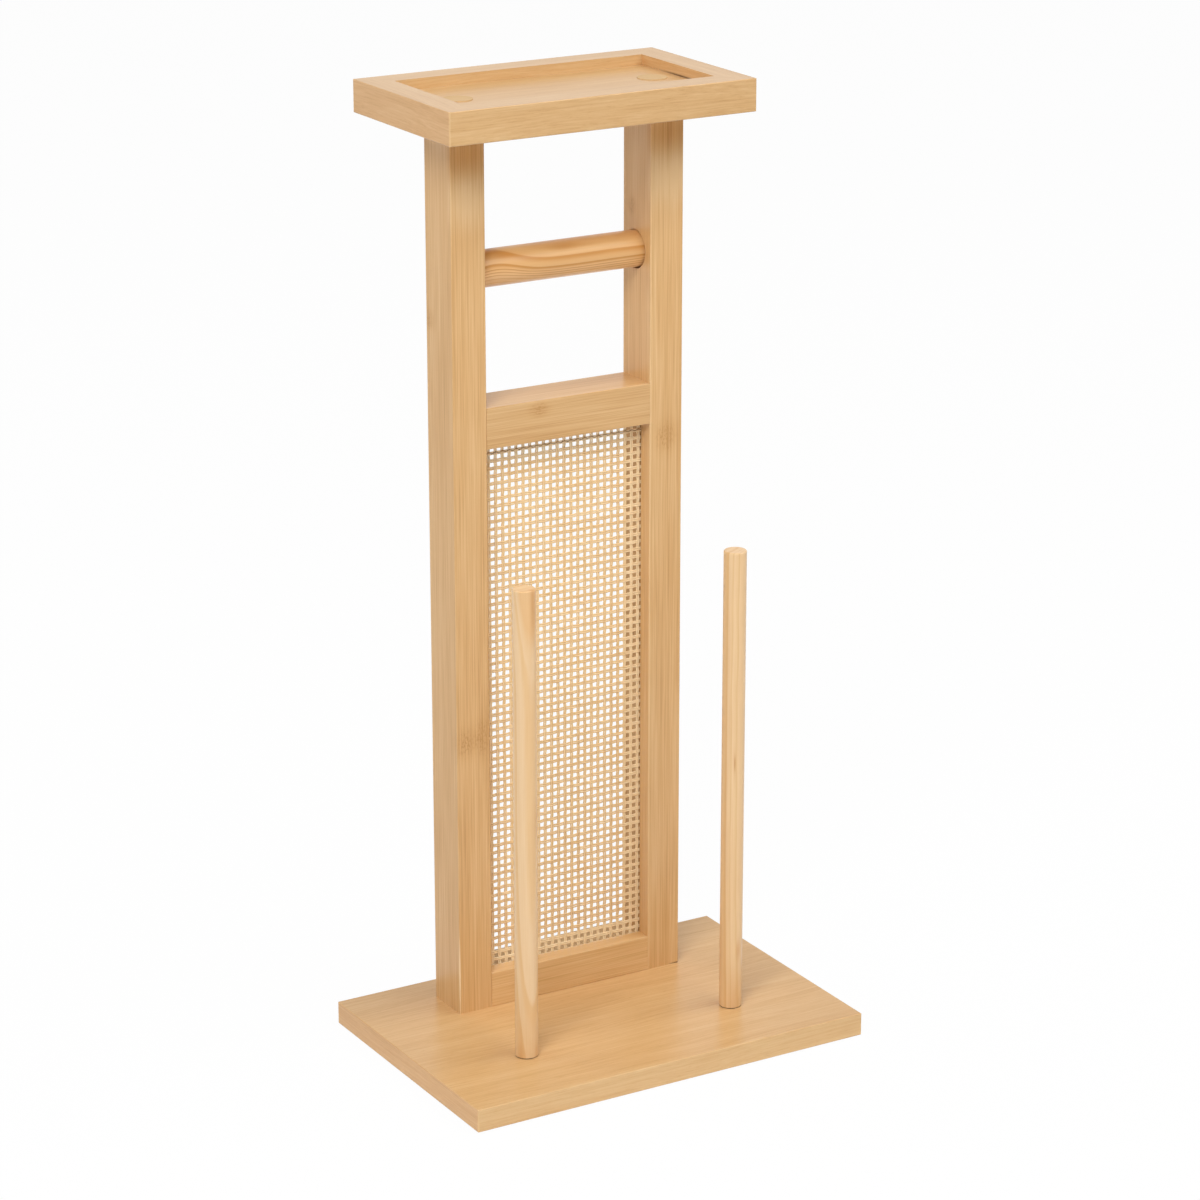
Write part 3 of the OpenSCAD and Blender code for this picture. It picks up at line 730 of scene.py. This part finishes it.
def strip_rings(side, crossings, over_first, low, high, upright):
    """Rings of one strip: flat over each crossing, sloping through the holes."""
    stations = [(low, None)]
    for number, middle in crossings:
        front = (number + over_first) % 2 == 0
        stations += [(middle - CROSSING_FLAT, front), (middle + CROSSING_FLAT, front)]
    stations = [s for s in stations if low <= s[0] <= high] + [(high, None)]
    shift, rings = 0.0, []
    for run, front in stations:
        shift = SHIFT_KEPT * shift + cane_random.uniform(-SHIFT_STEP, SHIFT_STEP)
        rise = 0.0 if front is None else (-WEAVE_RISE if front else WEAVE_RISE)
        for across, thick in STRIP_SECTION:
            wide = side + shift + across * STRIP_W
            depth = cane_y + rise + thick * STRIP_T
            rings.append((wide * MM, depth * MM, run * MM) if upright else (run * MM, depth * MM, wide * MM))
    return rings, len(stations)

print("a strip's section has", len(STRIP_SECTION), "corners")

# %% Weave the cane
def weave():
    """Points, faces and finishes of all strips, uprights first."""
    points, faces, uses = [], [], []
    plans = [(upright_pairs, cross_pairs, cane_low.x, cane_high.x, cane_low.z, cane_high.z, True),
             (cross_pairs, upright_pairs, cane_low.z, cane_high.z, cane_low.x, cane_high.x, False)]
    for pairs, crossings, side_low, side_high, low, high, upright in plans:
        for number, middle in pairs:
            for half in (-1, 1):
                side = middle + half * (STRIP_W + PAIR_GAP) / 2
                if side - STRIP_W / 2 < side_low or side + STRIP_W / 2 > side_high:
                    continue
                over_first = number if upright else number + 1
                rings, count = strip_rings(side, crossings, over_first, low, high, upright)
                made = tube_faces(len(points), count, len(STRIP_SECTION))
                points += rings
                faces += made
                uses += [0 if upright else 1] * len(made)
    return points, faces, uses

cane_points, cane_faces, cane_uses = weave()
print("woven from", len(cane_points), "points")

# %% [markdown]
# The strips keep the rattan's hard skin on one face, so cane is pale straw with
# long fibres, and no two strips are quite the same. Uprights and cross strips
# need their own grain direction, so they get one finish each. Near the rails
# and the right post the strips are painted paler, because the real panel is
# light right up to its frame, where the lamps here leave a shadow. The real
# panel also shows a wavy dark line close under the upper rail. The weave alone
# doesn't draw it, so the finish does, following the swell of the strips.

# %% Cane values
CANE_ROUGHNESS, CANE_IOR = 0.5, 1.15
CANE_TONES = [tone(219, 178, 124), tone(237, 204, 154), tone(249, 226, 186)]
CANE_MIDDLE = 0.47
CANE_STEP, CANE_STRIP_SWING = 1.3, 0.25
CANE_FIBRES, CANE_FIBRE_SWING = (0.3, 18, 2.0), 0.6
CANE_PATCHES, CANE_PATCH_SWING = (3.0, 22, 2.0), 0.4
CANE_RELIEF_MM = 0.03
AT_POST, AT_POST_LIFT = (46, 56), 0.4
UNDER_RAIL, UNDER_RAIL_LIFT = (rail_underside - 17, rail_underside - 5), 0.5
OVER_RAIL, OVER_RAIL_LIFT = (lower_rail_top + 6, lower_rail_top + 18), 0.4
LINE_TONE, LINE_SHARE = tone(140, 94, 44), 0.7
LINE_WAVE, LINE_START, LINE_FADE = 0.45, 1.2, (0.15, 0.6)
LINE_OVER_PAIR = 0.3
line_z = cane_hole_z + CANE_PITCH / 2 + LINE_OVER_PAIR
print("the dark line lies", round(rail_underside - line_z, 1), "mm under the upper rail")

# %% Cane finish
def cane_finish(name, order, seed):
    """Straw-coloured skin of the strips that run along the third letter of order."""
    cane = Finish(name, CANE_ROUGHNESS)
    place = place_in(cane, order)
    x, _, z = cane.node("SeparateXYZ", place_in(cane)).outputs
    step = cane.vector("FLOOR", cane.vector("MULTIPLY", place, (1 / CANE_STEP, 0, 0)))
    strip = cane.node("TexWhiteNoise", step, noise_dimensions="3D").outputs["Value"]
    fibres = marks(cane, place, *CANE_FIBRES, seed)
    value = add_up(cane, CANE_MIDDLE, (strip, CANE_STRIP_SWING), (fibres, CANE_FIBRE_SWING),
                   (marks(cane, place, *CANE_PATCHES, seed + 6), CANE_PATCH_SWING))
    value = cane.raised(value, cane.fade(x, *AT_POST), AT_POST_LIFT)
    value = cane.raised(value, cane.fade(z, *UNDER_RAIL), UNDER_RAIL_LIFT)
    value = cane.raised(value, cane.fade(z, *OVER_RAIL, 1.0, 0.0), OVER_RAIL_LIFT)
    colour = cane.ramp(value, list(zip(TONE_STOPS, CANE_TONES)))
    swell = cane.math("SINE", cane.math("MULTIPLY_ADD", x, math.tau / CANE_PITCH, LINE_START))
    off = cane.math("MULTIPLY_ADD", swell, LINE_WAVE, cane.math("SUBTRACT", z, line_z))
    line = cane.fade(cane.math("ABSOLUTE", off), *LINE_FADE, LINE_SHARE, 0.0)
    cane.paint(cane.mix(line, colour, LINE_TONE), CANE_IOR)
    relief(cane, fibres, CANE_RELIEF_MM)
    return cane

cane_up = cane_finish("cane_uprights", "XYZ", 4.0)
cane_across = cane_finish("cane_cross_strips", "ZYX", 27.0)
make_piece("woven_cane", cane_points, cane_faces, [cane_up.material, cane_across.material],
           cane_uses, "stand", "cane_panel")

# %% [markdown]
# Inside the left post sits the spring that lets the bar be pushed aside to
# change the roll. It is drawn-wire steel: a round wire swept along a helix,
# with enough rings for a smooth coil.

# %% Coil of the bar spring
WIRE = 1.2
SPRING_TURNS = 4
RINGS_PER_TURN = 32
WIRE_SIDES = 12

spring_low, spring_high = (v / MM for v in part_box("bar_spring"))
coil_r = (spring_high.z - spring_low.z - WIRE) / 2
coil_y, coil_z = (spring_low.y + spring_high.y) / 2, (spring_low.z + spring_high.z) / 2
spring_run = spring_high.x - spring_low.x - WIRE

def coil():
    """Points and faces of a round wire along a helix."""
    points = []
    rings = SPRING_TURNS * RINGS_PER_TURN + 1
    for i in range(rings):
        angle = 2 * math.pi * i / RINGS_PER_TURN
        x = spring_low.x + WIRE / 2 + spring_run * i / (rings - 1)
        for k in range(WIRE_SIDES):
            turn = 2 * math.pi * k / WIRE_SIDES
            radius = coil_r + WIRE / 2 * math.cos(turn)
            points.append(((x + WIRE / 2 * math.sin(turn)) * MM,
                           (coil_y + radius * math.cos(angle)) * MM,
                           (coil_z + radius * math.sin(angle)) * MM))
    return points, tube_faces(0, rings, WIRE_SIDES)

print("coil radius", round(coil_r, 2), "mm over", round(spring_run, 1), "mm")

# %% [markdown]
# Wire and screws are metal, and what makes metal look real is its uneven shine.
# Fine drawing lines change both the tone and how sharp the shine is.

# %% Steel and the finished spring
DRAWING_LINES = (0.15, 6, 2.0)
LINE_STOPS, LINE_DARKER = (0.3, 0.7), 14
SHINE_SWING = 0.2

def steel(name, base, roughness, order, seed):
    """Metal with fine drawing lines that change how sharp its shine is."""
    metal = Finish(name)
    metal.shader.inputs["Metallic"].default_value = 1.0
    lines = marks(metal, place_in(metal, order), *DRAWING_LINES, seed)
    tones = [tone(*[v - LINE_DARKER for v in base]), tone(*base)]
    metal.join(metal.ramp(lines, list(zip(LINE_STOPS, tones))), metal.shader.inputs["Base Color"])
    metal.join(metal.math("MULTIPLY_ADD", lines, SHINE_SWING, roughness - SHINE_SWING / 2),
               metal.shader.inputs["Roughness"])
    return metal

spring_points, spring_faces = coil()
spring_steel = steel("spring_wire", (200, 201, 203), 0.28, "YZX", 3.0)
spring = make_piece("bar_spring_wire", spring_points, spring_faces, [spring_steel.material],
                    [0] * len(spring_faces), "stand", "bar_spring")
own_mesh(spring)

# %% [markdown]
# The small parts are mostly hidden, but a stranger may turn the stand over or
# take it apart. Screws are zinc plated, pins are plain beech, the spring's cap
# is moulded plastic and the feet are soft rubber. A plain colour would do from
# afar. Close up, moulded things show soft specks, so one noise gives them both
# their tone and their fine bumps.

# %% Small parts
SPECK_STOPS = (0.35, 0.65)
PIN_SWING = 0.6

dress(steel("zinc_screws", (206, 203, 196), 0.36, "XYZ", 8.0), "post_screws", "rod_screws", "tray_screws")
dress(pale_board("beech_pins", "YZX", 50.0, BASE_TONES, swing=PIN_SWING, roughness=DULL),
      "lower_rail_pins", "upper_rail_pins")

def speckled(name, dark, light, roughness, size, depth_mm, seed):
    """A moulded surface with soft specks."""
    finish = Finish(name, roughness)
    specks = marks(finish, place_in(finish), size, size, 3.0, seed)
    colour = finish.ramp(specks, list(zip(SPECK_STOPS, (dark, light))))
    finish.join(colour, finish.shader.inputs["Base Color"])
    relief(finish, specks, depth_mm)
    return finish

dress(speckled("moulded_cap", tone(220, 216, 204), tone(230, 226, 215), roughness=0.45, size=1.2,
               depth_mm=0.01, seed=2.0), "spring_cup")
dress(speckled("foot_rubber", tone(190, 186, 178), tone(208, 204, 196), roughness=0.8, size=0.5,
               depth_mm=0.03, seed=6.0), "foot_pads")

# %% [markdown]
# Two round covers are stuck over the screws in the tray. They are a film with a
# printed wood tone, a touch duller and greener than the wood around them, and
# they show at a low angle because they don't shine like the lacquer.

# %% Screw covers
FILM_IOR = 1.2
FILM_TONES = [tone(204, 170, 125), tone(211, 179, 135)]
FILM_STREAKS, FILM_STOPS = (1.4, 30, 2.0), (0.3, 0.7)

film = Finish("printed_cover", DULL)
film_streaks = marks(film, place_in(film, "YZX"), *FILM_STREAKS, 61.0)
film.paint(film.ramp(film_streaks, list(zip(FILM_STOPS, FILM_TONES))), FILM_IOR)
dress(film, "screw_covers")

# %% [markdown]
# A packshot has a white sweep and large soft lamps. The floor is nearly white
# to the camera and to reflections, and an ordinary pale floor to the light, so
# it still holds the stand's soft shadow and bounces light up under the tray.

# %% White floor
FLOOR_SIZE = 14.0
FLOOR_TONE = (0.9, 0.9, 0.9, 1)
FLOOR_ROUGHNESS = 0.9
FLOOR_WHITE_SHARE = 0.97
WHITE = (1, 1, 1, 1)

def seen_directly(tree):
    """1 for rays from the camera and in reflections, 0 for the light's own rays."""
    path = tree.nodes.new("ShaderNodeLightPath")
    both = tree.nodes.new("ShaderNodeMath")
    both.operation = "MAXIMUM"
    tree.links.new(path.outputs["Is Camera Ray"], both.inputs[0])
    tree.links.new(path.outputs["Is Glossy Ray"], both.inputs[1])
    return both.outputs["Value"]

def make_floor():
    """A large square that shows white and lights like pale paint."""
    mesh = bpy.data.meshes.new("floor")
    half = FLOOR_SIZE / 2
    mesh.from_pydata([(-half, -half, 0), (half, -half, 0), (half, half, 0), (-half, half, 0)],
                     [], [(0, 1, 2, 3)])
    floor = bpy.data.objects.new("floor", mesh)
    bpy.context.scene.collection.objects.link(floor)
    finish = Finish("white_floor", FLOOR_ROUGHNESS)
    finish.shader.inputs["Base Color"].default_value = FLOOR_TONE
    share = finish.math("MULTIPLY", seen_directly(finish.tree), FLOOR_WHITE_SHARE)
    glow = finish.node("Emission", WHITE, 1.0)
    mix = finish.node("MixShader", share, finish.shader.outputs["BSDF"], glow.outputs["Emission"])
    finish.join(mix.outputs["Shader"], finish.output.inputs["Surface"])
    mesh.materials.append(finish.material)

make_floor()
print("floor of", FLOOR_SIZE, "m")

# %% [markdown]
# The world behind the floor is white to the camera too, and gives only a faint,
# slightly warm light of its own. Too much light from all round would wash out
# the shade under the tray and between the rods.

# %% World
WORLD_LIGHT, WORLD_STRENGTH = (1.0, 0.985, 0.965, 1), 0.2

def make_world():
    """A weak warm light that the camera sees as white."""
    world = bpy.data.worlds.new("soft_studio")
    bpy.context.scene.world = world
    world.use_nodes = True
    tree = world.node_tree
    tree.nodes.clear()
    output = tree.nodes.new("ShaderNodeOutputWorld")
    mix = tree.nodes.new("ShaderNodeMixShader")
    tree.links.new(seen_directly(tree), mix.inputs[0])
    for socket, colour, strength in ((1, WORLD_LIGHT, WORLD_STRENGTH), (2, WHITE, 1.0)):
        background = tree.nodes.new("ShaderNodeBackground")
        background.inputs["Color"].default_value = colour
        background.inputs["Strength"].default_value = strength
        tree.links.new(background.outputs["Background"], mix.inputs[socket])
    tree.links.new(mix.outputs["Shader"], output.inputs["Surface"])

make_world()
print("world light", WORLD_STRENGTH)

# %% [markdown]
# Five large soft lamps surround the stand, all aimed at its middle. The
# strongest is at the front left, so tops are brightest, fronts come next, and
# the posts' inner sides stay darkest. Their powers were found by comparing the
# brightness of each kind of surface, one lamp at a time.

# %% Soft lamps
STAND_MIDDLE = Vector((0, 0, 0.35))
SOFTBOX = 1.4
LAMPS = [("key_softbox", (-1.6, -1.5, 2.7), SOFTBOX, 55),
         ("lower_key_softbox", (-1.9, -1.8, 1.8), SOFTBOX, 12),
         ("front_softbox", (0.8, -2.0, 2.6), 1.6, 23),
         ("right_softbox", (1.7, -0.8, 2.8), SOFTBOX, 28),
         ("back_softbox", (-1.8, 1.8, 1.8), SOFTBOX, 13)]

def make_lamp(name, place, size, power):
    """A square soft lamp aimed at the middle of the stand."""
    data = bpy.data.lights.new(name, "AREA")
    data.shape = "RECTANGLE"
    data.size = data.size_y = size
    data.energy = power
    lamp = bpy.data.objects.new(name, data)
    lamp.location = place
    lamp.rotation_euler = (STAND_MIDDLE - Vector(place)).to_track_quat("-Z", "Y").to_euler()
    bpy.context.scene.collection.objects.link(lamp)
    print(name, "gives", power, "W")

for lamp in LAMPS:
    make_lamp(*lamp)

bpy.context.scene.view_settings.view_transform = "Standard"

# %% [markdown] The stand is now dressed for the camera.
